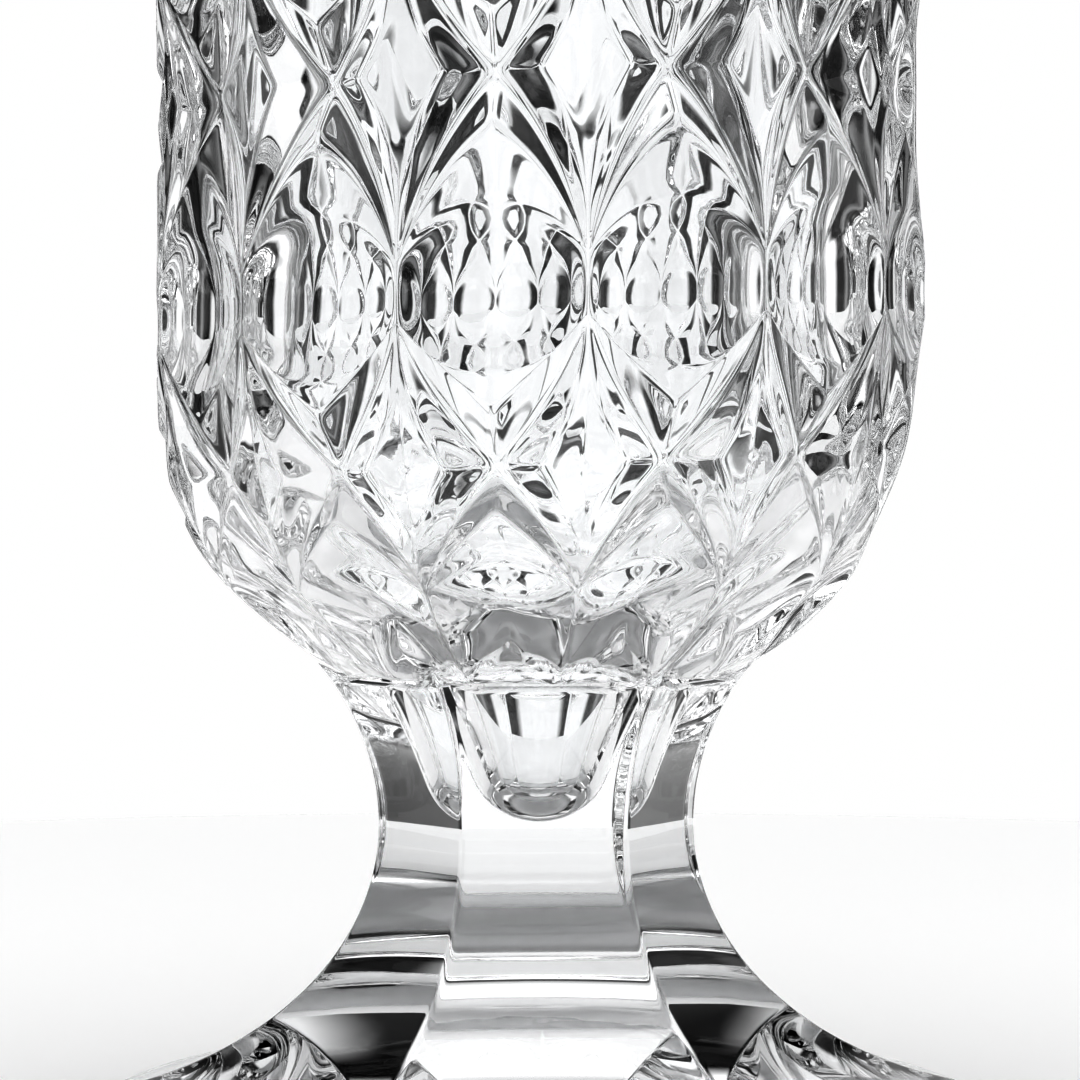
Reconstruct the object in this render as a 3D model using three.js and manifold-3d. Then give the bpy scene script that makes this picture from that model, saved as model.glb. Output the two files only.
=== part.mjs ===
// A footed cut crystal vase, in millimetres, +Z up, standing on z = 0 with its axis on x = y = 0.
// Angles run round the axis from the front (-Y) towards the right (+X).
//
// Three pieces: the cut bowl with its tapered tail, the six-sided pedestal with the socket that
// takes the tail, and the clear bond film that fills the joint between the two.

import * as THREE from 'three'
import { mergeVertices } from 'three/addons/utils/BufferGeometryUtils.js'
import Module from 'manifold-3d'

const wasm = await Module()
wasm.setup()

// ---- Driving sizes ----

const HEIGHT = 250
const BOWL_RADIUS = 60 // outside, on the crests of the cutting
const SHOULDER_Z = 115 // below this the bowl curves in as half an ellipse
const BOWL_DEPTH = 51 // the ellipse's height
const SEAT_Z = 71 // flat underside of the bowl, bonded to the pedestal

// The cutting: panes stacked in columns, each a pointed arch above and a V below.
const COLUMNS = 14
const HALF_COLUMN = Math.PI / COLUMNS
const FIRST_COLUMN = THREE.MathUtils.degToRad(-6)
const FLAT_RADIUS = BOWL_RADIUS * Math.cos(HALF_COLUMN) // of every flat pane and diamond, to the axis
const STAR_RADIUS = 54.2 // bottom of the grooves where they cross
const STAR_ROWS = [103, 158, 213] // heights of the rows of crossings
const LENS_SAG = 3.2 // how deep the round hollow is ground into each pane
const SIDE_TOP = 0.516 // where an arch meets the side of its column, as a share of the cell's height
const SIDE_FOOT = 0.38 // where the V below it does
const DIAMOND_CORNER = 0.52 // across a half column, where a diamond's side corner is
const DIAMOND_TIP = 0.19 // a diamond's half height, as a share of the cell
const LEAN = 0.042 // the rows climb this much towards the right
const LEAN_FROM_Z = 76 // and lie level below this height
const LEAN_TO_Z = 214 // and fade back to level from here
const LEAN_FADE = 20 // height over which the climb comes and goes
const LOWEST_DROP = 52.2 // the lowest row is pressed together: first and second order of its heights
const LOWEST_SQUEEZE = 32.2
const SEAT_PEAK_Z = 76.4 // top of the flat triangle that ends each column on the seat
const BAND_Z = 240 // the plain band below the rim starts here

// The inside of the bowl.
const LINING_RADIUS = 50
const LINING_DEPTH = 38 // of the half ellipse below the shoulder
const LINING_END = THREE.MathUtils.degToRad(60) // how far round it the lining goes, down to the cone
const LINING_STEPS = 5
const MOUTH_RADIUS = 50.8
const LIP_ROUND = 3 // radius of the lip's outer edge
const LIP_INNER_ROUND = 2
const CAVITY_FLOOR_Z = 49
const CUP_RADIUS = 10.5 // the cavity ends in part of a ball, which the cone touches all round
const CUP_STEPS = 4
const CONE_RADIUS = 8.4 // of the cone above the cup, measured at CONE_Z
const CONE_Z = 52
const CONE_SLOPE = 0.374 // growth of its radius with height
const CONE_TOP_Z = 79.5
const TAIL_WALL = 3.5
const TAIL_TIP_RADIUS = 5.9 // of the flat end
const TAIL_EASE_IN = 1 // the corner above it is eased by this much in, and this much down
const TAIL_EASE_DOWN = 4.5

// The pedestal.
const SIDES = 6
const PEDESTAL_TURN = THREE.MathUtils.degToRad(33.5) // first corner of the six
const WAIST_RADIUS = 24.7 // to the corners
const WAIST_Z = 47.5
const FLARE_UP = 38.5 // radius of the hollow curve above the waist
const FLARE_OUT = 56 // width and height of the quarter ellipse below the waist
const FLARE_DOWN = 42
const FLARE_STEPS = 7
const UPPER_STEPS = 4
const PEDESTAL_TOP_Z = 75
const TRIM = 1 // what is trimmed off reaches this far past the cut
const FOOT_RADIUS = 66
const FOOT_EASE = 1.5 // chamfer round its lower edge
const RECESS_RADIUS = 54 // shallow dish ground into the underside
const RECESS_DEPTH = 2.4
const RECESS_STEPS = 3
const ROOM_STEPS = [1, 3, 6] // heights above the seat at which the bowl's curve is followed

// The joint: film and the two gaps that keep the solids apart.
const GAP = 0.3
const FILM = 0.4
const FILM_INSET = 1.5 // the film stops this far inside the flats of the bowl

const ROUND = 84 // segments of a full turn
const STEPS = ROUND / (2 * COLUMNS) // segments along each cut edge, from column middle to column side
const LENS_STEPS = 3
const FILM_ROUND = 42

// ---- Helpers ----

const clamp01 = (x) => Math.min(1, Math.max(0, x))
const smooth = (x) => x * x * (3 - 2 * x)

function solidOf(geometry) {
  const bare = geometry.clone()
  bare.deleteAttribute('normal')
  bare.deleteAttribute('uv')
  const welded = mergeVertices(bare, 1e-4)
  const vertProperties = new Float32Array(welded.attributes.position.array)
  const triVerts = new Uint32Array(welded.index.array)
  return new wasm.Manifold(new wasm.Mesh({ numProp: 3, vertProperties, triVerts }))
}

function geometryOf(solid) {
  const mesh = solid.getMesh()
  const geometry = new THREE.BufferGeometry()
  geometry.setAttribute('position', new THREE.BufferAttribute(mesh.vertProperties, 3))
  geometry.setIndex(new THREE.BufferAttribute(mesh.triVerts, 1))
  return geometry
}

// A profile of [radius, height] points, going up the outside, turned round the Z axis.
function turned(profile, segments = ROUND, start = 0) {
  const points = profile.map(([radius, height]) => new THREE.Vector2(radius, height))
  return new THREE.LatheGeometry(points, segments, start).rotateX(Math.PI / 2)
}

// ---- Outline of the bowl ----

function outlineRadius(z) {
  const below = Math.max(0, SHOULDER_Z - z) / BOWL_DEPTH
  return BOWL_RADIUS * Math.sqrt(1 - below * below)
}

const coneRadius = (z) => CONE_RADIUS + CONE_SLOPE * (z - CONE_Z)

// The tail's outside, moved outwards by a clearance, from its tip on the axis up to the seat.
function tailProfile(clearance) {
  const wall = TAIL_WALL + clearance
  const seat = SEAT_Z - clearance
  const tip = CAVITY_FLOOR_Z - wall
  return [
    [0, tip],
    [TAIL_TIP_RADIUS, tip],
    [CONE_RADIUS + wall - TAIL_EASE_IN, CONE_Z - TAIL_EASE_DOWN],
    [coneRadius(CONE_Z) + wall, CONE_Z],
    [coneRadius(seat) + wall, seat],
  ]
}

// The cavity, from its floor on the axis up to the inner edge of the lip.
function cavityProfile() {
  const profile = [[0, CAVITY_FLOOR_Z]]
  const touching = Math.PI / 2 - Math.atan(CONE_SLOPE)
  for (let step = 1; step <= CUP_STEPS; step += 1) {
    const a = (touching * step) / CUP_STEPS
    profile.push([CUP_RADIUS * Math.sin(a), CAVITY_FLOOR_Z + CUP_RADIUS * (1 - Math.cos(a))])
  }
  profile.push([coneRadius(CONE_TOP_Z), CONE_TOP_Z])
  for (let step = LINING_STEPS; step >= 0; step -= 1) {
    const a = (LINING_END * step) / LINING_STEPS
    profile.push([LINING_RADIUS * Math.cos(a), SHOULDER_Z - LINING_DEPTH * Math.sin(a)])
  }
  profile.push([MOUTH_RADIUS, HEIGHT - LIP_INNER_ROUND])
  return profile
}

// ---- The cutting ----

// A point of the cutting. across runs from 0 in the middle of a column to 1 at its side, and radius
// is the one it would have on the straight part of the bowl.
function cutPoint(column, side, across, z, radius) {
  const angle = FIRST_COLUMN + 2 * HALF_COLUMN * column + side * across * HALF_COLUMN
  const risen = smooth(clamp01((z - LEAN_FROM_Z) / LEAN_FADE))
  const settled = risen * (1 - smooth(clamp01((z - LEAN_TO_Z) / LEAN_FADE)))
  const drawnIn = radius * (outlineRadius(z) / BOWL_RADIUS)
  const height = z + LEAN * settled * drawnIn * Math.sin(angle)
  return new THREE.Vector3(drawnIn * Math.sin(angle), -drawnIn * Math.cos(angle), height)
}

const paneRadius = (across) => FLAT_RADIUS / Math.cos(HALF_COLUMN * across)
const diamondRadius = (across) => FLAT_RADIUS / Math.cos(HALF_COLUMN * (1 - across))

// The edges of one cell. Each is a Bezier from the middle of the column (across = 0) to its side
// (across = 1), and its second number is the share of the cell's height.
const EDGES = {
  upperGroove: [[0, 1], [0.45, 0.91], [0.88, 0.7], [1, SIDE_TOP]],
  arch: [[0, 0.871], [0.35, 0.8], [0.8, 0.68], [1, SIDE_TOP]],
  lensTop: [[0, 0.67], [0.35, 0.67], [0.75, 0.6], [1, SIDE_TOP]],
  lensFoot: [[0, 0.235], [0.4, 0.235], [0.75, 0.28], [1, SIDE_FOOT]],
  vee: [[0, 0.138], [0.35, 0.22], [0.7, 0.29], [1, SIDE_FOOT]],
  lowerGroove: [[0, 0], [0.4, 0.1], [0.8, 0.2], [1, SIDE_FOOT]],
}

function onEdge(name, t) {
  const [a, b, c, d] = EDGES[name]
  const weights = [(1 - t) ** 3, 3 * t * (1 - t) ** 2, 3 * t * t * (1 - t), t ** 3]
  return [0, 1].map((i) => weights[0] * a[i] + weights[1] * b[i] + weights[2] * c[i] + weights[3] * d[i])
}

// A row of cells is a function from the share of the cell's height to z. The lowest row is pressed
// together where the bowl curves in.
const fullRow = (bottom, top) => (share) => bottom + share * (top - bottom)
const lowestRow = (share) => STAR_ROWS[0] - LOWEST_DROP * (1 - share) + LOWEST_SQUEEZE * (1 - share) ** 2

// The two long edges of a facet are curves of points. A facet is ruled from one to the other.
class CutSurface {
  constructor() {
    this.corners = []
  }

  // Adds the grid of points at(i, j) as triangles that face out. Halves on the left are mirrored.
  grid(columns, rows, side, at) {
    for (let i = 0; i < columns; i += 1) {
      for (let j = 0; j < rows; j += 1) {
        const [a, b, c, d] = [at(i, j), at(i + 1, j), at(i + 1, j + 1), at(i, j + 1)]
        this.triangle(a, c, b, side)
        this.triangle(a, d, c, side)
      }
    }
  }

  triangle(a, b, c, side) {
    const flat = a.distanceTo(b) < 1e-6 || b.distanceTo(c) < 1e-6 || c.distanceTo(a) < 1e-6
    if (flat) {
      return
    }
    const order = side > 0 ? [a, b, c] : [a, c, b]
    order.forEach((p) => this.corners.push(p.x, p.y, p.z))
  }

  // A facet ruled from the upper curve to the lower one.
  ruled(side, upper, lower) {
    this.grid(STEPS, 1, side, (i, j) => (j === 0 ? upper : lower)(i / STEPS))
  }
}

function halfCell(surface, column, side, row, kind) {
  const put = (across, z, radius) => cutPoint(column, side, across, z, radius)

  // Points along an edge of the cell. Grooves rise from the crossing to the side of the column.
  const edge = (name, depth) => (t) => {
    const [across, share] = onEdge(name, t)
    return put(across, row(share), paneRadius(across) - depth * (1 - t))
  }
  const grooveDepth = FLAT_RADIUS - STAR_RADIUS
  const upperGroove = edge('upperGroove', grooveDepth)
  const arch = edge('arch', 0)
  const lensTop = edge('lensTop', 0)
  const vee = edge('vee', 0)
  const lensFoot = edge('lensFoot', 0)
  const lowerGroove = edge('lowerGroove', grooveDepth)
  const diamond = (share, tipShare) => (t) => {
    const across = DIAMOND_CORNER + (1 - DIAMOND_CORNER) * t
    return put(across, row(share + (tipShare - share) * t), diamondRadius(across))
  }
  const middle = (share) => () => put(1, row(share), FLAT_RADIUS)

  if (kind !== 'crown') {
    const slant = diamond(1, 1 - DIAMOND_TIP)
    surface.ruled(side, middle(1), slant)
    surface.ruled(side, slant, upperGroove)
    surface.ruled(side, upperGroove, arch)
    surface.ruled(side, arch, lensTop)
  }
  if (kind === 'full') {
    const sideShare = (s) => SIDE_TOP + (SIDE_FOOT - SIDE_TOP) * s
    lens(surface, side, lensTop, lensFoot, (s) => put(1, row(sideShare(s)), BOWL_RADIUS))
    surface.ruled(side, lensFoot, vee)
  }
  if (kind === 'lowest') {
    // The panes end on the seat: tips between the columns, and a flat triangle in each column.
    const peak = put(0, SEAT_PEAK_Z, FLAT_RADIUS)
    const tip = put(1, SEAT_Z, BOWL_RADIUS)
    const mid = put(0, SEAT_Z, FLAT_RADIUS)
    const slope = (t) => peak.clone().lerp(tip, t)
    const sideTop = row(SIDE_TOP)
    lens(surface, side, lensTop, slope, (s) => put(1, sideTop + (SEAT_Z - sideTop) * s, BOWL_RADIUS))
    surface.ruled(side, slope, (t) => mid.clone().lerp(tip, t))
  } else {
    const slant = diamond(0, DIAMOND_TIP)
    surface.ruled(side, vee, lowerGroove)
    surface.ruled(side, lowerGroove, slant)
    surface.ruled(side, slant, middle(0))
  }
  if (kind === 'crown') {
    // Plain tongues run down from the band into the V of the last cutting.
    surface.ruled(side, (t) => put(t, BAND_Z, FLAT_RADIUS), vee)
  }
}

// The round hollow between two curves. The side curve runs down the edge shared with the next column.
function lens(surface, side, upper, lower, sideCurve) {
  const inward = new THREE.Vector3(upper(0).x, upper(0).y, 0).normalize()
  surface.grid(STEPS, LENS_STEPS, side, (i, j) => {
    const t = i / STEPS
    const s = j / LENS_STEPS
    const ruledPoint = upper(t).lerp(lower(t), s)
    const sideShift = sideCurve(s).sub(upper(1).lerp(lower(1), s)).multiplyScalar(t)
    const sag = LENS_SAG * 4 * s * (1 - s) * (1 - t * t)
    return ruledPoint.add(sideShift).addScaledVector(inward, -sag)
  })
}

function bowl() {
  const surface = new CutSurface()
  const rows = [
    [lowestRow, 'lowest'],
    [fullRow(STAR_ROWS[0], STAR_ROWS[1]), 'full'],
    [fullRow(STAR_ROWS[1], STAR_ROWS[2]), 'full'],
    [fullRow(STAR_ROWS[2], 2 * STAR_ROWS[2] - STAR_ROWS[1]), 'crown'],
  ]
  for (let column = 0; column < COLUMNS; column += 1) {
    for (const side of [-1, 1]) {
      rows.forEach(([row, kind]) => halfCell(surface, column, side, row, kind))
    }
  }

  // The plain rest, ring by ring: band and lip down into the cavity, and tail up to the seat. Each
  // ring has the same number of points as the edges of the cutting that it meets.
  const angles = []
  for (let i = 0; i < ROUND; i += 1) {
    angles.push(FIRST_COLUMN + (2 * Math.PI * i) / ROUND)
  }
  const around = (a, radius, z) => new THREE.Vector3(radius * Math.sin(a), -radius * Math.cos(a), z)
  const ring = (radius, z) => angles.map((a) => around(a, radius, z))
  const seatRing = angles.map((_, i) => seatPoint(i))
  const lipEase = LIP_ROUND * (1 - Math.SQRT1_2)
  const inside = [
    ring(FLAT_RADIUS, BAND_Z),
    ring(FLAT_RADIUS, HEIGHT - LIP_ROUND),
    ring(FLAT_RADIUS - lipEase, HEIGHT - lipEase),
    ring(FLAT_RADIUS - LIP_ROUND, HEIGHT),
    ring(MOUTH_RADIUS + LIP_INNER_ROUND, HEIGHT),
    ...cavityProfile().reverse().slice(0, -1).map(([radius, z]) => ring(radius, z)),
  ]
  const outside = [
    ...tailProfile(0).slice(1).map(([radius, z]) => ring(radius, z)),
    seatRing,
  ]
  join(surface, inside, new THREE.Vector3(0, 0, CAVITY_FLOOR_Z))
  join(surface, outside.reverse(), new THREE.Vector3(0, 0, tailProfile(0)[0][1]), -1)

  const geometry = new THREE.BufferGeometry()
  geometry.setAttribute('position', new THREE.Float32BufferAttribute(surface.corners, 3))
  return mergeVertices(geometry, 1e-4)
}

// The edge of the seat runs straight from tip to tip.
function seatPoint(i) {
  const half = i / STEPS
  const column = Math.round(half / 2)
  const side = half < 2 * column ? -1 : 1
  const mid = cutPoint(column, side, 0, SEAT_Z, FLAT_RADIUS)
  const tip = cutPoint(column, side, 1, SEAT_Z, BOWL_RADIUS)
  return mid.lerp(tip, Math.abs(half - 2 * column))
}

// Joins rings of points, one to the next, and closes the last on a point of the axis.
function join(surface, rings, end, facing = 1) {
  const at = (i, j) => rings[j][i % ROUND]
  surface.grid(ROUND, rings.length - 1, -facing, at)
  const last = rings.at(-1)
  for (let i = 0; i < ROUND; i += 1) {
    surface.triangle(last[i], last[(i + 1) % ROUND], end, facing)
  }
}

// ---- Pedestal and bond film ----

// The six-sided body, as the profile of its corners from the base up.
function cornerProfile() {
  const profile = [[0, -TRIM], [WAIST_RADIUS + FLARE_OUT, -TRIM]]
  for (let step = FLARE_STEPS; step >= 0; step -= 1) {
    const a = (Math.PI / 2) * (step / FLARE_STEPS)
    profile.push([WAIST_RADIUS + FLARE_OUT * (1 - Math.cos(a)), WAIST_Z - FLARE_DOWN * Math.sin(a)])
  }
  const topAngle = Math.asin((PEDESTAL_TOP_Z - WAIST_Z) / FLARE_UP)
  for (let step = 1; step <= UPPER_STEPS; step += 1) {
    const a = topAngle * (step / UPPER_STEPS)
    profile.push([WAIST_RADIUS + FLARE_UP * (1 - Math.cos(a)), WAIST_Z + FLARE_UP * Math.sin(a)])
  }
  profile.push([0, PEDESTAL_TOP_Z])
  return profile
}

// The round foot as it is ground: flat ring, eased edge, and a shallow dish underneath.
function footBlank() {
  const profile = []
  for (let step = 0; step <= RECESS_STEPS; step += 1) {
    const share = step / RECESS_STEPS
    profile.push([RECESS_RADIUS * share, RECESS_DEPTH * (1 - share * share)])
  }
  profile.push(
    [FOOT_RADIUS - FOOT_EASE, 0],
    [FOOT_RADIUS, FOOT_EASE],
    [FOOT_RADIUS, PEDESTAL_TOP_Z + TRIM],
    [0, PEDESTAL_TOP_Z + TRIM],
  )
  return turned(profile)
}

// The room that the bowl takes: its tail, its seat and the curve above it, with a clearance.
function bowlRoom(clearance) {
  const profile = tailProfile(clearance)
  const seat = SEAT_Z - clearance
  profile.push([outlineRadius(SEAT_Z) + clearance, seat])
  for (const above of ROOM_STEPS) {
    profile.push([outlineRadius(SEAT_Z + above) + clearance, SEAT_Z + above])
  }
  profile.push([0, SEAT_Z + ROOM_STEPS.at(-1)])
  return turned(profile)
}

function pedestal() {
  const body = solidOf(turned(cornerProfile(), SIDES, PEDESTAL_TURN))
  const foot = solidOf(footBlank())
  const room = solidOf(bowlRoom(2 * GAP + FILM))
  return geometryOf(body.intersect(foot).subtract(room))
}

function bondFilm() {
  const edge = outlineRadius(SEAT_Z) * (FLAT_RADIUS / BOWL_RADIUS) - FILM_INSET
  const upper = tailProfile(GAP)
  const lower = tailProfile(GAP + FILM)
  const profile = [...lower, [edge, SEAT_Z - GAP - FILM], [edge, SEAT_Z - GAP], ...upper.reverse()]
  return turned(profile, FILM_ROUND)
}

// ---- The vase ----

function crystal(name, geometry, color, roughness) {
  const material = new THREE.MeshStandardMaterial({ color, roughness, metalness: 0 })
  const mesh = new THREE.Mesh(geometry, material)
  mesh.name = name
  return mesh
}

const vase = new THREE.Group()
vase.add(crystal('bowl', bowl(), 0xe9eef0, 0.02))
vase.add(crystal('bond_film', bondFilm(), 0xf4f6f2, 0.2))
vase.add(crystal('pedestal', pedestal(), 0xe3e9ec, 0.02))

export default vase
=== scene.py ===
"""A footed cut crystal vase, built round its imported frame.

The bowl's cutting, the six-sided pedestal and the bond between them are made here as closed meshes.
Lengths in this script are in millimetres until mesh_piece() writes them in metres. Angles run round
the vase's axis from the front (-Y) towards the right (+X).
"""

import math

import bmesh
import bpy
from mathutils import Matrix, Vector


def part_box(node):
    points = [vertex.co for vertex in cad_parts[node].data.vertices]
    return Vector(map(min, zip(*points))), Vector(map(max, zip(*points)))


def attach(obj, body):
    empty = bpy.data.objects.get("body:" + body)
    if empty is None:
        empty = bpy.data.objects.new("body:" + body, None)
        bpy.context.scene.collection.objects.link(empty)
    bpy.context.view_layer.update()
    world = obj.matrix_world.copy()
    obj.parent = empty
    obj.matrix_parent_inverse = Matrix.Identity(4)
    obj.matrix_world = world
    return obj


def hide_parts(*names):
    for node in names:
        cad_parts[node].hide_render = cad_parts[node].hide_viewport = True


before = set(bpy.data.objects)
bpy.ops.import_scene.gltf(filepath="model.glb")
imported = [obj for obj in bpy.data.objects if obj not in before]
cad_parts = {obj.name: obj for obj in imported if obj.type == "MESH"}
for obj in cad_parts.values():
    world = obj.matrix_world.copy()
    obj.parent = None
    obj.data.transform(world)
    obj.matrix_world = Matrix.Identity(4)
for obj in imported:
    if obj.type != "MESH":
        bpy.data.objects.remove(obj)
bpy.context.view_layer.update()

MM = 0.001
WELD = 2e-6  # metres, within which points of a mesh are made one
TOO_CLOSE = 1e-5  # millimetres, below which two corners of a face are one
BONDED = 2  # the kind of a face that is hidden in the joint


def size_of(node):
    """Lowest and highest corner of a CAD node, in millimetres."""
    low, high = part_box(node)
    return low / MM, high / MM


# ---- Driving sizes ----

COLUMNS = 14
HALF_COLUMN = math.pi / COLUMNS
FIRST_COLUMN = math.radians(-6)
CREST_ANGLES = [FIRST_COLUMN + HALF_COLUMN * (2 * k + 1) for k in range(COLUMNS)]

HEIGHT = size_of("bowl")[1].z
BOWL_RADIUS = size_of("bowl")[1].x / max(math.sin(a) for a in CREST_ANGLES)
FLAT_RADIUS = BOWL_RADIUS * math.cos(HALF_COLUMN)
SHOULDER_Z = 115
BOWL_DEPTH = 51
SEAT_Z = 71

STAR_RADIUS = 54.2
STAR_ROWS = [103, 158, 213]
SIDE_TOP = 0.516
SIDE_FOOT = 0.38
DIAMOND_CORNER = 0.52
DIAMOND_TIP = 0.19
LENS_SAG = 3.2
LEAN = 0.042
LEAN_FROM_Z = 76
LEAN_TO_Z = 214
LEAN_FADE = 20
LOWEST_DROP = 52.2
LOWEST_SQUEEZE = 32.2
SEAT_PEAK_Z = 76.4
BAND_Z = 240
BAND_EASE = 3.5  # the band's lowest part, where it meets the tongues of the cutting

LINING_RADIUS = 50
LINING_DEPTH = 38
LINING_END = math.radians(60)
LINING_STEPS = 8
MOUTH_RADIUS = 50.8
LIP_ROUND = 3
LIP_INNER_ROUND = 2
CAVITY_FLOOR_Z = 49
CUP_RADIUS = 10.5  # the cavity ends in part of a ball, which the cone touches all round
CUP_TURNS = 8
CONE_RADIUS = 8.4
CONE_Z = 52
CONE_SLOPE = 0.374
CONE_TOP_Z = 79.5
CONE_STEPS = 8
WALL_STEPS = 24
TAIL_WALL = 3.5
TAIL_TIP_RADIUS = 5.9
TAIL_EASE_IN = 1  # the corner above the tip is eased by this much in, and this much down
TAIL_EASE_DOWN = 4.5

SIDES = 6
PEDESTAL_TURN = math.radians(33.5)
WAIST_RADIUS = 24.7
WAIST_Z = 47.5
FLARE_UP = 38.5
FLARE_OUT = 56
FLARE_DOWN = 42
FOOT_RADIUS = size_of("pedestal")[1].x
FOOT_EASE = 1.5
FOOT_EDGE_ROUND = 1.2  # where the flats run out into the round foot
RECESS_RADIUS = 54
RECESS_DEPTH = 2.4
CORNER_ROUND = 0.8  # how softly the stem's corners are polished over
CORNER_RISE = 5  # the stem's corners climb the bowl by less than this
HALVINGS = 40
SIDE_STEPS = 40
FLARE_STEPS = 48
UPPER_STEPS = 18
CUP_STEPS = 3
RECESS_STEPS = 3

BOND = 0.12  # thickness of the bond, and of the space on each side of it
PEDESTAL_GAP = 3 * BOND
BOND_INSET = 2.4  # from the seat's edge to the bond's
CREASE = 0.35  # how sharp the subdivision leaves a cut edge
CREASE_ANGLE = math.radians(9)  # between two faces, above which their edge is a cut edge
SUBDIVISIONS = 2
STEPS = 6  # along each cut edge, from column middle to column side
RULED_STEPS = 2
TONGUE_STEPS = 4
LENS_STEPS = 5
ROUND = 2 * COLUMNS * STEPS


def clamp01(x):
    return min(1.0, max(0.0, x))


def smooth(x):
    return x * x * (3 - 2 * x)


def around(angle, radius, z):
    return Vector((radius * math.sin(angle), -radius * math.cos(angle), z))


# ---- Meshes ----


class Shell:
    """Faces of a closed mesh as they are laid down. Kind 0 is cutting, 1 plain and 2 bonded."""

    def __init__(self):
        self.points = []
        self.faces = []
        self.kinds = []

    def face(self, corners, kind):
        kept = [p for i, p in enumerate(corners) if (p - corners[i - 1]).length > TOO_CLOSE]
        if len(kept) < 3:
            return
        first = len(self.points)
        self.points.extend(kept)
        self.faces.append(list(range(first, first + len(kept))))
        self.kinds.append(kind)

    def grid(self, columns, rows, at, flip=False, kind=0):
        for i in range(columns):
            for j in range(rows):
                corners = [at(i, j), at(i, j + 1), at(i + 1, j + 1), at(i + 1, j)]
                self.face(corners[::-1] if flip else corners, kind)


def mesh_piece(name, shell, materials, crease=0.0):
    """The shell as one closed object in metres. crease marks the cut edges for the subdivision."""
    mesh = bpy.data.meshes.new(name)
    mesh.from_pydata([p * MM for p in shell.points], [], shell.faces)
    mesh.polygons.foreach_set("material_index", [1 if k == BONDED else 0 for k in shell.kinds])
    bm = bmesh.new()
    bm.from_mesh(mesh)
    kind_of = bm.faces.layers.int.new("kind")
    for face, kind in zip(bm.faces, shell.kinds):
        face[kind_of] = kind
    bmesh.ops.remove_doubles(bm, verts=bm.verts, dist=WELD)
    bmesh.ops.recalc_face_normals(bm, faces=bm.faces)
    if bm.calc_volume(signed=True) < 0:
        bmesh.ops.reverse_faces(bm, faces=bm.faces)
    if crease:
        weight = bm.edges.layers.float.new("crease_edge")
        for edge in bm.edges:
            if len(edge.link_faces) == 2 and edge.calc_face_angle(0) > CREASE_ANGLE:
                kinds = {f[kind_of] for f in edge.link_faces}
                if 0 in kinds:
                    edge[weight] = crease
    for face in bm.faces:
        face.smooth = True
    open_edges = sum(1 for e in bm.edges if len(e.link_faces) != 2)
    print(f"{name}: {len(bm.verts)} vertices, {open_edges} open edges, {bm.calc_volume() * 1e6:.1f} cm3")
    bm.to_mesh(mesh)
    bm.free()
    piece = bpy.data.objects.new(name, mesh)
    bpy.context.scene.collection.objects.link(piece)
    for material in materials:
        mesh.materials.append(material)
    return piece


# ---- Outline of the bowl ----


def outline_radius(z):
    below = max(0.0, SHOULDER_Z - z) / BOWL_DEPTH
    return BOWL_RADIUS * math.sqrt(1 - below * below)


def cone_radius(z):
    return CONE_RADIUS + CONE_SLOPE * (z - CONE_Z)


def tail_profile(clearance):
    """The tail's outside from near the axis up to the seat, moved out by a clearance."""
    wall = TAIL_WALL + clearance
    seat = SEAT_Z - clearance
    tip = CAVITY_FLOOR_Z - wall
    return [
        (TAIL_TIP_RADIUS, tip),
        (CONE_RADIUS + wall - TAIL_EASE_IN, CONE_Z - TAIL_EASE_DOWN),
        (cone_radius(CONE_Z) + wall, CONE_Z),
        (cone_radius(seat) + wall, seat),
    ]


def cavity_profile():
    """The cavity from its floor, near the axis, up to the inner edge of the lip."""
    profile = []
    touching = math.pi / 2 - math.atan(CONE_SLOPE)
    for step in range(1, CUP_TURNS + 1):
        a = touching * step / CUP_TURNS
        z = CAVITY_FLOOR_Z + CUP_RADIUS * (1 - math.cos(a))
        profile.append((CUP_RADIUS * math.sin(a), z))
    cone_from = profile[-1][1]
    for step in range(1, CONE_STEPS + 1):
        z = cone_from + (CONE_TOP_Z - cone_from) * step / CONE_STEPS
        profile.append((cone_radius(z), z))
    for step in range(LINING_STEPS, -1, -1):
        a = LINING_END * step / LINING_STEPS
        profile.append((LINING_RADIUS * math.cos(a), SHOULDER_Z - LINING_DEPTH * math.sin(a)))
    for step in range(1, WALL_STEPS + 1):
        share = step / WALL_STEPS
        z = SHOULDER_Z + (HEIGHT - LIP_INNER_ROUND - SHOULDER_Z) * share
        profile.append((LINING_RADIUS + (MOUTH_RADIUS - LINING_RADIUS) * share, z))
    return profile


# ---- The cutting ----


def cut_point(column, side, across, z, radius):
    """A point of the cutting: across is 0 in the middle of a column and 1 at its side."""
    angle = FIRST_COLUMN + 2 * HALF_COLUMN * column + side * across * HALF_COLUMN
    risen = smooth(clamp01((z - LEAN_FROM_Z) / LEAN_FADE))
    settled = risen * (1 - smooth(clamp01((z - LEAN_TO_Z) / LEAN_FADE)))
    drawn_in = radius * outline_radius(z) / BOWL_RADIUS
    return around(angle, drawn_in, z + LEAN * settled * drawn_in * math.sin(angle))


def pane_radius(across):
    return FLAT_RADIUS / math.cos(HALF_COLUMN * across)


def diamond_radius(across):
    return FLAT_RADIUS / math.cos(HALF_COLUMN * (1 - across))


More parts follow.
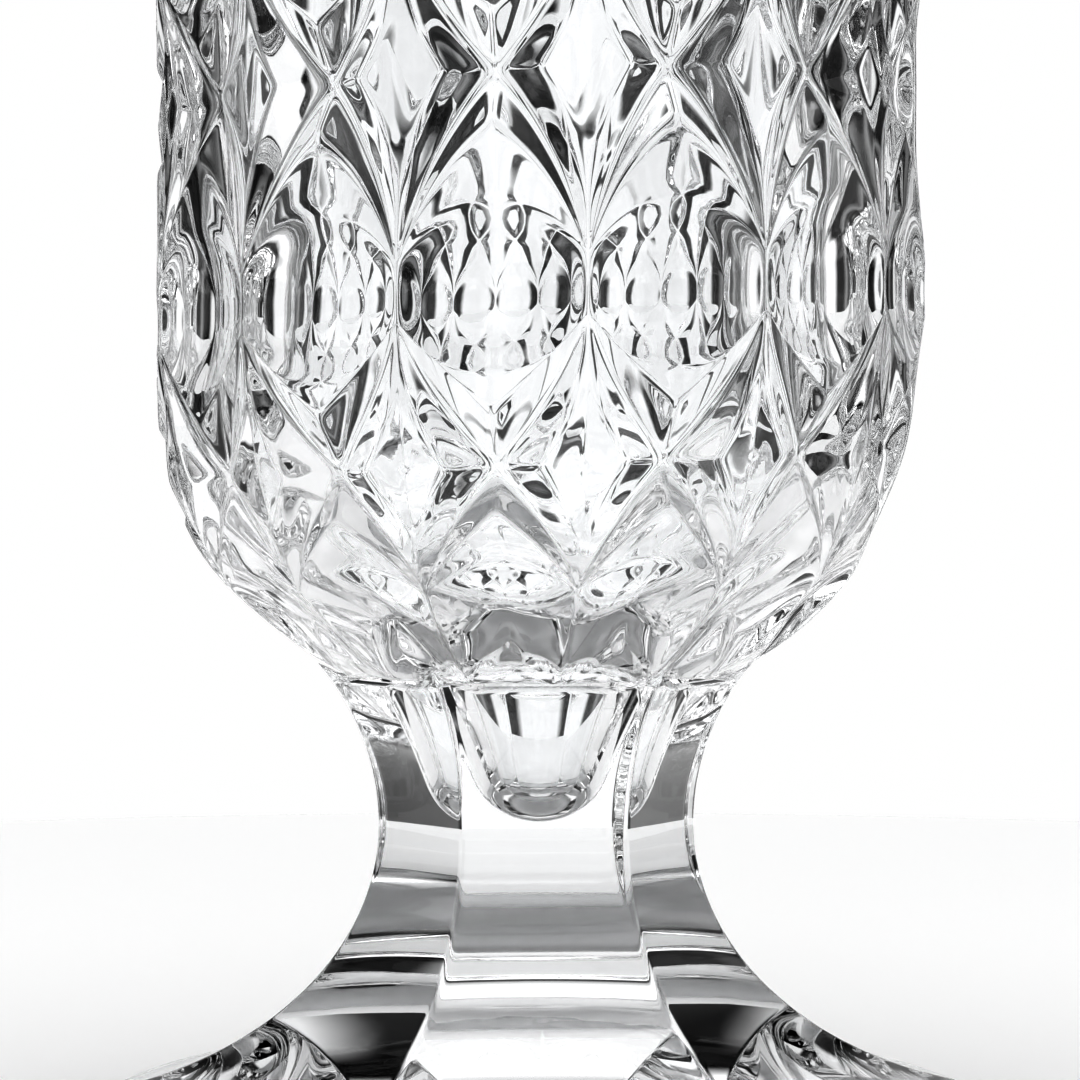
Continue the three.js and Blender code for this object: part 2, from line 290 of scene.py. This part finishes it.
EDGES = {
    "upper_groove": [(0, 1), (0.45, 0.91), (0.88, 0.7), (1, SIDE_TOP)],
    "arch": [(0, 0.871), (0.35, 0.8), (0.8, 0.68), (1, SIDE_TOP)],
    "lens_top": [(0, 0.67), (0.35, 0.67), (0.75, 0.6), (1, SIDE_TOP)],
    "lens_foot": [(0, 0.235), (0.4, 0.235), (0.75, 0.28), (1, SIDE_FOOT)],
    "vee": [(0, 0.138), (0.35, 0.22), (0.7, 0.29), (1, SIDE_FOOT)],
    "lower_groove": [(0, 0), (0.4, 0.1), (0.8, 0.2), (1, SIDE_FOOT)],
}


def on_edge(name, t):
    weights = [(1 - t) ** 3, 3 * t * (1 - t) ** 2, 3 * t * t * (1 - t), t**3]
    return [sum(w * p[i] for w, p in zip(weights, EDGES[name])) for i in (0, 1)]


def full_row(bottom, top):
    return lambda share: bottom + share * (top - bottom)


def lowest_row(share):
    return STAR_ROWS[0] - LOWEST_DROP * (1 - share) + LOWEST_SQUEEZE * (1 - share) ** 2


def lens(shell, side, upper, lower, side_curve):
    """The round hollow between two curves, its side running down the edge of the column."""
    inward = Vector((upper(0).x, upper(0).y, 0)).normalized()

    def at(i, j):
        t, s = i / STEPS, j / LENS_STEPS
        point = upper(t).lerp(lower(t), s)
        shift = (side_curve(s) - upper(1).lerp(lower(1), s)) * t
        return point + shift - inward * (LENS_SAG * 4 * s * (1 - s) * (1 - t * t))

    shell.grid(STEPS, LENS_STEPS, at, side < 0)


def half_cell(shell, column, side, row, kind):
    def put(across, z, radius):
        return cut_point(column, side, across, z, radius)

    def edge(name, depth=0.0):
        def curve(t):
            across, share = on_edge(name, t)
            return put(across, row(share), pane_radius(across) - depth * (1 - t))

        return curve

    def slant(share, tip_share):
        def curve(t):
            across = DIAMOND_CORNER + (1 - DIAMOND_CORNER) * t
            return put(across, row(share + (tip_share - share) * t), diamond_radius(across))

        return curve

    def ruled(upper, lower):
        def at(i, j):
            return upper(i / STEPS).lerp(lower(i / STEPS), j / RULED_STEPS)

        shell.grid(STEPS, RULED_STEPS, at, side < 0)

    def middle(share):
        return lambda t: put(1, row(share), FLAT_RADIUS)

    groove_depth = FLAT_RADIUS - STAR_RADIUS
    upper_groove = edge("upper_groove", groove_depth)
    arch, lens_top = edge("arch"), edge("lens_top")
    lens_foot, vee = edge("lens_foot"), edge("vee")
    lower_groove = edge("lower_groove", groove_depth)

    if kind != "crown":
        top_slant = slant(1, 1 - DIAMOND_TIP)
        ruled(middle(1), top_slant)
        ruled(top_slant, upper_groove)
        ruled(upper_groove, arch)
        ruled(arch, lens_top)
    if kind == "full":
        def down_side(s):
            return put(1, row(SIDE_TOP + (SIDE_FOOT - SIDE_TOP) * s), BOWL_RADIUS)

        lens(shell, side, lens_top, lens_foot, down_side)
        ruled(lens_foot, vee)
    if kind == "lowest":
        peak = put(0, SEAT_PEAK_Z, FLAT_RADIUS)
        tip = put(1, SEAT_Z, BOWL_RADIUS)
        mid = put(0, SEAT_Z, FLAT_RADIUS)
        side_top = row(SIDE_TOP)
        lens(
            shell, side, lens_top, lambda t: peak.lerp(tip, t),
            lambda s: put(1, side_top + (SEAT_Z - side_top) * s, BOWL_RADIUS),
        )
        ruled(lambda t: peak.lerp(tip, t), lambda t: mid.lerp(tip, t))
    else:
        foot_slant = slant(0, DIAMOND_TIP)
        ruled(vee, lower_groove)
        ruled(lower_groove, foot_slant)
        ruled(foot_slant, middle(0))
    if kind == "crown":
        def at(i, j):
            return put(i / STEPS, BAND_Z, FLAT_RADIUS).lerp(vee(i / STEPS), j / TONGUE_STEPS)

        shell.grid(STEPS, TONGUE_STEPS, at, side < 0)


def ring(radius, z):
    return [around(FIRST_COLUMN + 2 * math.pi * i / ROUND, radius, z) for i in range(ROUND)]


def seat_point(i):
    """The edge of the seat runs straight from tip to tip."""
    half = i / STEPS
    column = round(half / 2)
    side = -1 if half < 2 * column else 1
    mid = cut_point(column, side, 0, SEAT_Z, FLAT_RADIUS)
    tip = cut_point(column, side, 1, SEAT_Z, BOWL_RADIUS)
    return mid.lerp(tip, abs(half - 2 * column))


def join(shell, rings, end, kind, flip=False):
    """Joins rings of points, one to the next, and closes the last on a point of the axis."""
    count = len(rings[0])
    shell.grid(count, len(rings) - 1, lambda i, j: rings[j][i % count], flip, kind)
    for i in range(count):
        corners = [rings[-1][i], end, rings[-1][(i + 1) % count]]
        shell.face(corners[::-1] if flip else corners, kind)


def bowl_shell():
    shell = Shell()
    rows = [
        (lowest_row, "lowest"),
        (full_row(STAR_ROWS[0], STAR_ROWS[1]), "full"),
        (full_row(STAR_ROWS[1], STAR_ROWS[2]), "full"),
        (full_row(STAR_ROWS[2], 2 * STAR_ROWS[2] - STAR_ROWS[1]), "crown"),
    ]
    for column in range(COLUMNS):
        for side in (-1, 1):
            for row, kind in rows:
                half_cell(shell, column, side, row, kind)
    lip = [ring(FLAT_RADIUS, z) for z in (BAND_Z, BAND_Z + BAND_EASE, HEIGHT - LIP_ROUND)]
    for degrees in (30, 60, 90):
        a = math.radians(degrees)
        in_by, down_by = LIP_ROUND * (1 - math.cos(a)), LIP_ROUND * (1 - math.sin(a))
        lip.append(ring(FLAT_RADIUS - in_by, HEIGHT - down_by))
    for degrees in (90, 45):
        a = math.radians(degrees)
        out_by, down_by = LIP_INNER_ROUND * (1 - math.cos(a)), LIP_INNER_ROUND * (1 - math.sin(a))
        lip.append(ring(MOUTH_RADIUS + out_by, HEIGHT - down_by))
    cavity = [ring(radius, z) for radius, z in reversed(cavity_profile())]
    join(shell, lip + cavity, Vector((0, 0, CAVITY_FLOOR_Z)), 1)
    tail = [ring(radius, z) for radius, z in tail_profile(0)]
    seat = [seat_point(i) for i in range(ROUND)]
    join(shell, [seat] + tail[::-1], Vector((0, 0, tail_profile(0)[0][1])), BONDED)
    return shell


# ---- Pedestal ----


def soft_least(a, b, width):
    """The smaller of two lengths, with the corner between them rounded over width."""
    near = max(width - abs(a - b), 0.0) / width
    return min(a, b) - near * near * width / 4


def side_length(angle, corner_radius):
    """From the axis to the six-sided body's surface, where its corners are at corner_radius."""
    flat = corner_radius * math.cos(math.pi / SIDES)
    turn = 2 * math.pi / SIDES
    within = (angle - PEDESTAL_TURN) % turn
    nearest = within - turn / 2
    second = nearest - math.copysign(turn, nearest)
    return soft_least(flat / math.cos(nearest), flat / math.cos(second), CORNER_ROUND)


def corner_radius_at(z):
    if z >= WAIST_Z:
        rise = (z - WAIST_Z) / FLARE_UP
        return WAIST_RADIUS + FLARE_UP * (1 - math.sqrt(1 - rise * rise))
    fall = (WAIST_Z - z) / FLARE_DOWN
    return WAIST_RADIUS + FLARE_OUT * (1 - math.sqrt(max(0.0, 1 - fall * fall)))


def pedestal_outside(angle, z):
    return soft_least(side_length(angle, corner_radius_at(z)), FOOT_RADIUS, FOOT_EDGE_ROUND)


def bowl_room(z):
    return outline_radius(z) + PEDESTAL_GAP


def pedestal_top(angle):
    """Height at which the pedestal's side meets the bowl's curve, or the seat if it never does."""
    low, high = SEAT_Z - PEDESTAL_GAP, SEAT_Z + CORNER_RISE
    if pedestal_outside(angle, low) <= bowl_room(low):
        return low
    for _ in range(HALVINGS):
        z = (low + high) / 2
        if pedestal_outside(angle, z) > bowl_room(z):
            low = z
        else:
            high = z
    return low


def pedestal_column(angle):
    """Points at one angle: from the dish underneath, out and up the outside, and into the socket."""
    points = []
    for step in range(RECESS_STEPS + 1):
        share = (1 + step / RECESS_STEPS) / 2
        points.append(around(angle, RECESS_RADIUS * share, RECESS_DEPTH * (1 - share * share)))
    points.append(around(angle, (RECESS_RADIUS + FOOT_RADIUS) / 2, 0))
    for degrees in (0, 30, 60, 90):
        a = math.radians(degrees)
        radius = FOOT_RADIUS - FOOT_EASE * (1 - math.sin(a))
        points.append(around(angle, radius, FOOT_EASE * (1 - math.cos(a))))
    points.append(around(angle, FOOT_RADIUS, (FOOT_EASE + WAIST_Z - FLARE_DOWN) / 2))
    for step in range(FLARE_STEPS, 0, -1):
        z = WAIST_Z - FLARE_DOWN * math.sin(math.pi / 2 * step / FLARE_STEPS)
        points.append(around(angle, pedestal_outside(angle, z), z))
    top = pedestal_top(angle)
    for step in range(UPPER_STEPS + 1):
        z = WAIST_Z + (top - WAIST_Z) * step / UPPER_STEPS
        points.append(around(angle, pedestal_outside(angle, z), z))
    rim_radius = pedestal_outside(angle, top)
    for step in range(1, CUP_STEPS + 1):
        z = top + (SEAT_Z - PEDESTAL_GAP - top) * step / CUP_STEPS
        points.append(around(angle, min(rim_radius, bowl_room(z)), z))
    for radius, z in reversed(tail_profile(PEDESTAL_GAP)):
        points.append(around(angle, radius, z))
    return points


def pedestal_shell():
    shell = Shell()
    turn = 2 * math.pi / SIDES
    columns = []
    for side in range(SIDES):
        for k in range(SIDE_STEPS):
            # Close together at the corners, further apart along the flats.
            eased = math.sin(math.pi * (k / SIDE_STEPS - 0.5))
            columns.append(pedestal_column(PEDESTAL_TURN + turn * (side + 0.5 + eased / 2)))
    count = len(columns)
    rows = len(columns[0])
    socket_from = rows - 1 - len(tail_profile(PEDESTAL_GAP)) - CUP_STEPS

    def at(i, j):
        return columns[i % count][j]

    shell.grid(count, socket_from, at, True, 1)
    shell.grid(count, rows - 1 - socket_from, lambda i, j: at(i, j + socket_from), True, BONDED)
    floor_z = tail_profile(PEDESTAL_GAP)[0][1]
    for i in range(count):
        shell.face([at(i, rows - 1), at(i + 1, rows - 1), Vector((0, 0, floor_z))], BONDED)
        shell.face([at(i + 1, 0), at(i, 0), Vector((0, 0, RECESS_DEPTH))], 1)
    return shell


# ---- Bond ----


def bond_shell():
    shell = Shell()
    edge = outline_radius(SEAT_Z) * FLAT_RADIUS / BOWL_RADIUS - BOND_INSET
    upper = tail_profile(BOND)
    lower = tail_profile(2 * BOND)
    profile = lower + [(edge, SEAT_Z - 2 * BOND), (edge, SEAT_Z - BOND)] + upper[::-1]
    rings = [ring(radius, z) for radius, z in profile]
    shell.grid(ROUND, len(rings) - 1, lambda i, j: rings[j][i % ROUND], True, BONDED)
    for i in range(ROUND):
        after = (i + 1) % ROUND
        shell.face([rings[0][i], rings[0][after], Vector((0, 0, lower[0][1]))], BONDED)
        shell.face([rings[-1][after], rings[-1][i], Vector((0, 0, upper[0][1]))], BONDED)
    return shell


# ---- Materials ----


CRYSTAL_IOR = 1.53
BOND_IOR = 1.5
CLEAR = (0.985, 0.99, 0.995, 1)


def crystal(name, ior, ripple_scale, ripple):
    """Clear crystal: polished, with a slight ripple. ripple is its height in metres."""
    material = bpy.data.materials.new(name)
    material.use_nodes = True
    nodes, links = material.node_tree.nodes, material.node_tree.links
    nodes.clear()
    out = nodes.new("ShaderNodeOutputMaterial")
    shader = nodes.new("ShaderNodeBsdfPrincipled")
    shader.inputs["Base Color"].default_value = CLEAR
    shader.inputs["Roughness"].default_value = 0.0
    shader.inputs["IOR"].default_value = ior
    shader.inputs["Transmission Weight"].default_value = 1.0
    coords = nodes.new("ShaderNodeTexCoord")
    noise = nodes.new("ShaderNodeTexNoise")
    noise.inputs["Scale"].default_value = ripple_scale
    noise.inputs["Detail"].default_value = 2.0
    bump = nodes.new("ShaderNodeBump")
    bump.inputs["Strength"].default_value = 1.0
    bump.inputs["Distance"].default_value = ripple
    links.new(coords.outputs["Object"], noise.inputs["Vector"])
    links.new(noise.outputs["Fac"], bump.inputs["Height"])
    links.new(bump.outputs["Normal"], shader.inputs["Normal"])
    links.new(shader.outputs["BSDF"], out.inputs["Surface"])
    return material


def bonded():
    """Glass that touches glass through a bond of the same index: light crosses it unchanged."""
    material = bpy.data.materials.new("bonded")
    material.use_nodes = True
    nodes, links = material.node_tree.nodes, material.node_tree.links
    nodes.clear()
    out = nodes.new("ShaderNodeOutputMaterial")
    shader = nodes.new("ShaderNodeBsdfTransparent")
    links.new(shader.outputs["BSDF"], out.inputs["Surface"])
    return material


# ---- Stage ----


# The studio light, as brightness by direction. Round the horizon, in degrees to either side of
# straight behind the vase: four white screens, behind it, at its sides and in front, and dark gaps
# between them, which give clear glass its edges. A weak light stands in the middle of each gap.
SCREENS = [
    (0, 1.05), (19, 1.05), (25, 0.02), (37, 0.02), (45, 0.4), (53, 0.02), (65, 0.02), (71, 1.05),
    (109, 1.05), (115, 0.02), (127, 0.02), (135, 0.4), (143, 0.02), (155, 0.02), (161, 1.05),
    (180, 1.05),
]
# By height, in degrees above the horizon: the share of the screens, and a soft box overhead.
SCREEN_HEIGHT = [(-90, 1), (26, 1), (36, 0), (90, 0)]
SOFT_BOX = [(-90, 0), (44, 0), (56, 2.3), (90, 2.3)]
FLOOR_RADIUS = 0.5  # metres, a table top
FLOOR_SIDES = 128
FLOOR_PALE = (0.92, 0.92, 0.92, 1)
FLOOR_ROUGHNESS = 0.6
AIR_FILM = 0.0003  # metres, between the floor and the foot
GLASS_BOUNCES = 24
MIRROR_BOUNCES = 12
BONDED_CROSSINGS = 48
LENS = 112.03  # millimetres
SENSOR_WIDTH = 36
NEAREST = 0.01  # metres
CAMERA_AT = (0.00055, -0.522, 0.101)  # metres
CAMERA_DIP = math.radians(1.0228)
CONTRAST = 1.6  # of the finished picture


def level_ramp(nodes, links, source, levels):
    """Brightness looked up from (degrees, level) pairs."""
    low, high = levels[0][0], levels[-1][0]
    share = nodes.new("ShaderNodeMapRange")
    share.inputs["From Min"].default_value = math.radians(low)
    share.inputs["From Max"].default_value = math.radians(high)
    links.new(source, share.inputs["Value"])
    ramp = nodes.new("ShaderNodeValToRGB")
    stops = ramp.color_ramp.elements
    while len(stops) > 1:
        stops.remove(stops[-1])
    for k, (at, level) in enumerate(levels):
        place = (at - low) / (high - low)
        stop = stops[0] if k == 0 else stops.new(place)
        stop.position = place
        stop.color = (level, level, level, 1)
    links.new(share.outputs[0], ramp.inputs["Fac"])
    return ramp.outputs["Color"]


def combined(nodes, links, operation, one, other):
    """Two brightnesses multiplied or added."""
    both = nodes.new("ShaderNodeVectorMath")
    both.operation = operation
    links.new(one, both.inputs[0])
    links.new(other, both.inputs[1])
    return both.outputs["Vector"]


def floor():
    """Plain and pale, and the same for every ray, so its shade under the foot is the vase's own."""
    mesh = bpy.data.meshes.new("floor")
    turns = [math.tau * k / FLOOR_SIDES for k in range(FLOOR_SIDES)]
    rim = [
        (FLOOR_RADIUS * math.cos(turn), FLOOR_RADIUS * math.sin(turn), -AIR_FILM) for turn in turns
    ]
    mesh.from_pydata(rim, [], [tuple(range(FLOOR_SIDES))])
    piece = bpy.data.objects.new("floor", mesh)
    bpy.context.scene.collection.objects.link(piece)
    material = bpy.data.materials.new("floor_pale")
    material.use_nodes = True
    paper = material.node_tree.nodes["Principled BSDF"]
    paper.inputs["Base Color"].default_value = FLOOR_PALE
    paper.inputs["Roughness"].default_value = FLOOR_ROUGHNESS
    mesh.materials.append(material)


def studio():
    world = bpy.data.worlds.new("studio")
    bpy.context.scene.world = world
    world.use_nodes = True
    nodes, links = world.node_tree.nodes, world.node_tree.links
    nodes.clear()
    coords = nodes.new("ShaderNodeTexCoord")
    split = nodes.new("ShaderNodeSeparateXYZ")
    links.new(coords.outputs["Generated"], split.inputs[0])
    bearing = nodes.new("ShaderNodeMath")
    bearing.operation = "ARCTAN2"
    links.new(split.outputs["X"], bearing.inputs[0])
    links.new(split.outputs["Y"], bearing.inputs[1])
    either_side = nodes.new("ShaderNodeMath")
    either_side.operation = "ABSOLUTE"
    links.new(bearing.outputs[0], either_side.inputs[0])
    rise = nodes.new("ShaderNodeMath")
    rise.operation = "ARCSINE"
    links.new(split.outputs["Z"], rise.inputs[0])
    round_it = level_ramp(nodes, links, either_side.outputs[0], SCREENS)
    up_it = level_ramp(nodes, links, rise.outputs[0], SCREEN_HEIGHT)
    overhead = level_ramp(nodes, links, rise.outputs[0], SOFT_BOX)
    screens = combined(nodes, links, "MULTIPLY", round_it, up_it)
    light = nodes.new("ShaderNodeBackground")
    light.inputs["Strength"].default_value = 1.0
    links.new(combined(nodes, links, "ADD", screens, overhead), light.inputs["Color"])
    backdrop = nodes.new("ShaderNodeBackground")
    backdrop.inputs["Color"].default_value = (1, 1, 1, 1)
    path = nodes.new("ShaderNodeLightPath")
    mix = nodes.new("ShaderNodeMixShader")
    links.new(path.outputs["Is Camera Ray"], mix.inputs[0])
    links.new(light.outputs[0], mix.inputs[1])
    links.new(backdrop.outputs[0], mix.inputs[2])
    out = nodes.new("ShaderNodeOutputWorld")
    links.new(mix.outputs[0], out.inputs["Surface"])
    scene = bpy.context.scene
    scene.view_settings.view_transform = "Standard"
    scene.view_settings.gamma = 1 / CONTRAST
    scene.cycles.max_bounces = GLASS_BOUNCES
    scene.cycles.transmission_bounces = GLASS_BOUNCES
    scene.cycles.glossy_bounces = MIRROR_BOUNCES
    scene.cycles.transparent_max_bounces = BONDED_CROSSINGS


def camera():
    """Level with the lower bowl, turned down by one degree, with a long lens."""
    data = bpy.data.cameras.new("camera")
    data.lens = LENS
    data.sensor_width = SENSOR_WIDTH
    data.clip_start = NEAREST
    view = bpy.data.objects.new("camera", data)
    view.location = CAMERA_AT
    view.rotation_euler = (math.pi / 2 - CAMERA_DIP, 0, 0)
    bpy.context.scene.collection.objects.link(view)
    bpy.context.scene.camera = view


# ---- The vase ----

bonded_faces = bonded()
bowl_crystal = crystal("bowl_crystal", CRYSTAL_IOR, 60, 0.00002)
pedestal_crystal = crystal("pedestal_crystal", CRYSTAL_IOR, 45, 0.00003)
bond_clear = crystal("bond_clear", BOND_IOR, 90, 0.00002)

bowl = mesh_piece("cut_bowl", bowl_shell(), [bowl_crystal, bonded_faces], crease=CREASE)
rounding = bowl.modifiers.new("rounding", "SUBSURF")
rounding.levels = SUBDIVISIONS
rounding.render_levels = SUBDIVISIONS
pedestal = mesh_piece("stem_and_foot", pedestal_shell(), [pedestal_crystal, bonded_faces])
bond = mesh_piece("bond_layer", bond_shell(), [bond_clear, bonded_faces])

for piece, node, slot in (
    (bowl, "bowl", "bowl_crystal"),
    (pedestal, "pedestal", "pedestal_crystal"),
    (bond, "bond_film", "clear_bond"),
):
    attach(piece, "root")
    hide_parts(node)

camera()
floor()
studio()
